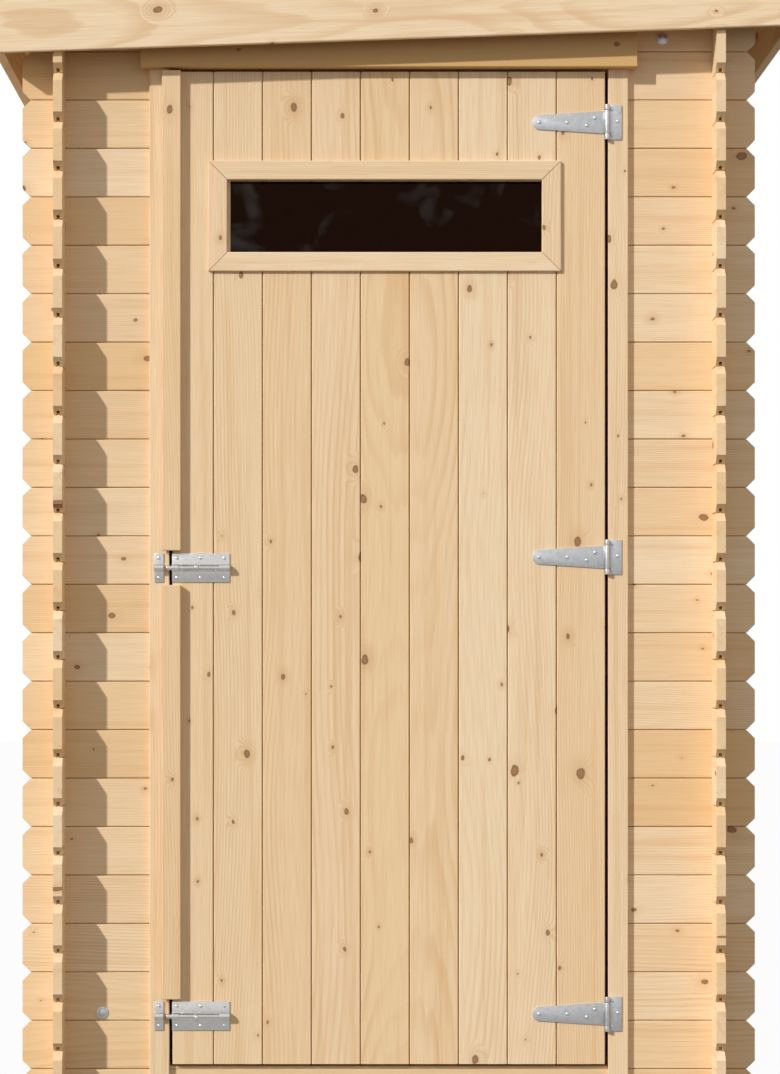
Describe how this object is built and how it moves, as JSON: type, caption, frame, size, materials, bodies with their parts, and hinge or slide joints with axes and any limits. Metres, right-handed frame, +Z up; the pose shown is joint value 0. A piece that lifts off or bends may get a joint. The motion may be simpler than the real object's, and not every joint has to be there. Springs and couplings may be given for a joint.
{
  "type": "garden shed",
  "caption": "Small timber garden shed of interlocking wall boards with crossed corners, a ledged door with a slim light, strap hinges and barrel bolts, and a low single-pitch roof.",
  "frame": {"origin": "on the ground at the middle of the wall footprint, on the underside of the middle floor joist", "axes": "+Z up, +X to the right and towards the high side of the roof as seen from the door, +Y from the door to the back wall"},
  "size_m": [1.407, 1, 1.9747],
  "materials": {
    "planed_spruce": "planed, untreated",
    "treated_joists": "sawn, pressure treated",
    "roofing_felt": "mineral felt",
    "galvanised_steel": "galvanised",
    "bright_zinc_steel": "bright zinc plated",
    "glazing": "clear acrylic sheet"
  },
  "bodies": {
    "shed": {"front_sill_board": "planed_spruce", "front_wall_left": "planed_spruce", "front_wall_right": "planed_spruce", "front_wall_head": "planed_spruce", "back_wall": "planed_spruce", "left_wall": "planed_spruce", "right_wall": "planed_spruce", "left_jamb_trim": "planed_spruce", "right_jamb_trim": "planed_spruce", "head_trim": "planed_spruce", "left_door_lining": "planed_spruce", "right_door_lining": "planed_spruce", "head_door_lining": "planed_spruce", "threshold_strip": "planed_spruce", "floor_boards": "planed_spruce", "floor_joists": "treated_joists", "roof_purlins": "planed_spruce", "roof_deck": "planed_spruce", "roof_felt": "roofing_felt", "front_fascia": "planed_spruce", "back_fascia": "planed_spruce", "left_eave_board": "planed_spruce", "right_eave_board": "planed_spruce", "left_storm_batten": "planed_spruce", "right_storm_batten": "planed_spruce", "batten_bolts": "galvanised_steel", "top_hinge_leaf": "galvanised_steel", "middle_hinge_leaf": "galvanised_steel", "bottom_hinge_leaf": "galvanised_steel", "upper_bolt_keeper": "bright_zinc_steel", "lower_bolt_keeper": "bright_zinc_steel"},
    "door": {"door_boards": "planed_spruce", "door_ledges": "planed_spruce", "upper_cover_strip": "planed_spruce", "lower_cover_strip": "planed_spruce", "light_frame_outside": "planed_spruce", "light_frame_inside": "planed_spruce", "light_glass": "glazing", "top_hinge_strap": "galvanised_steel", "middle_hinge_strap": "galvanised_steel", "bottom_hinge_strap": "galvanised_steel", "upper_bolt_plate": "bright_zinc_steel", "lower_bolt_plate": "bright_zinc_steel"},
    "upper_bolt": {"upper_bolt_rod": "bright_zinc_steel"},
    "lower_bolt": {"lower_bolt_rod": "bright_zinc_steel"}
  },
  "joints": [
    {"name": "door_hinge", "type": "hinge", "parent": "shed", "child": "door", "pos_m": [0.3865, -0.445, 0.932], "axis": [0, 0, 1], "range_deg": [0, 160]},
    {"name": "upper_bolt_slide", "type": "slide", "parent": "door", "child": "upper_bolt", "axis": [1, 0, 0], "range_m": [-0.025, 0.017]},
    {"name": "lower_bolt_slide", "type": "slide", "parent": "door", "child": "lower_bolt", "axis": [1, 0, 0], "range_m": [-0.025, 0.017]}
  ]
}
